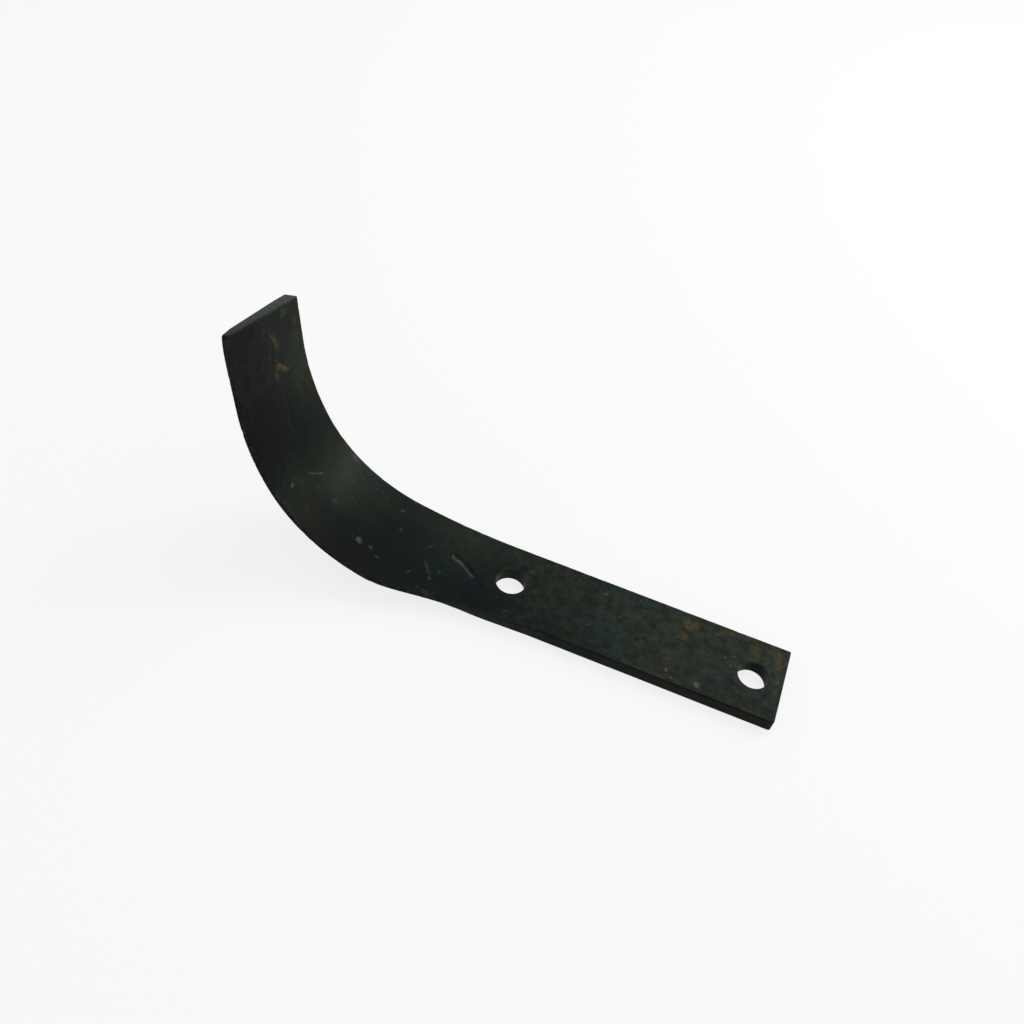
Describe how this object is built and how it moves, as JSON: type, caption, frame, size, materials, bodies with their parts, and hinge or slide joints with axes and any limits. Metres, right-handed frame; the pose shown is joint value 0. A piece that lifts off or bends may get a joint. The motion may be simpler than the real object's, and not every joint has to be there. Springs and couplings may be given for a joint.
{
  "type": "rotary tiller blade",
  "caption": "Forged steel tiller blade: flat bolted shank that curves up through a wide bend into a wedge-section blade with a slanting sheared tip.",
  "frame": {"origin": "midway between the two bolt holes, on the underside of the flat shank", "axes": "+X along the shank to its mounting end, +Z square to the shank on the side the blade bends to, -Y towards the cutting edge"},
  "size_m": [0.2186, 0.0455, 0.1072],
  "materials": {
    "steel": "dark oiled forge scale, matte to satin, with ochre rust patches"
  },
  "bodies": {
    "root": {"blade": "steel"}
  },
  "joints": []
}
